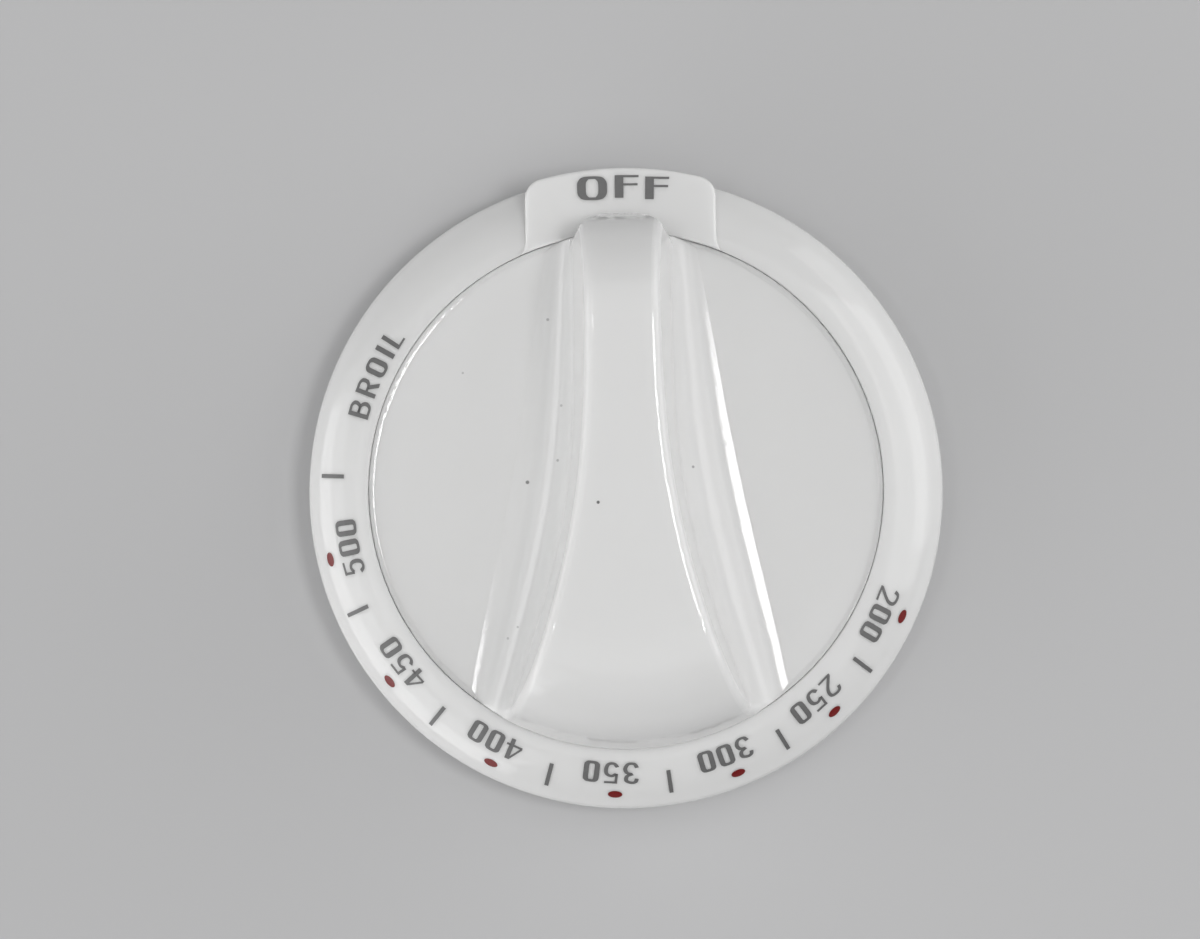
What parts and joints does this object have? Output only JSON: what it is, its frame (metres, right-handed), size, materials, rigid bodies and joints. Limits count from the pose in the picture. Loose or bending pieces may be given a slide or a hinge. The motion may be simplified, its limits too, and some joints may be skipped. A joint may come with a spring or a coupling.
{
  "type": "oven control knob",
  "caption": "Round white oven knob: a numbered skirt with a raised OFF tab, and a flared fin grip that can be turned on the skirt to reset the dial; D-bore behind for the control's shaft.",
  "frame": {"origin": "on the shaft axis, in the plane of the skirt's back rim", "axes": "+Z out of the knob's front along the shaft axis, +Y towards the OFF tab, +X to the right seen from the front with OFF at the top"},
  "size_m": [0.0635, 0.0637, 0.0212],
  "materials": {
    "skirt_plastic": "glossy white moulding with grey and red print",
    "grip_plastic": "glossy white moulding",
    "spring_steel": "rolled spring steel strip",
    "plated_steel": "bright zinc plate"
  },
  "bodies": {
    "skirt": {"dial_skirt": "skirt_plastic"},
    "grip_body": {"grip": "grip_plastic", "hub_spring_clip": "spring_steel", "calibration_screws": "plated_steel"}
  },
  "joints": [
    {"name": "calibration_turn", "type": "hinge", "parent": "skirt", "child": "grip_body", "pos_m": [0, 0, 0], "axis": [0, 0, 1], "range_deg": [-28.8, 28.8]}
  ]
}
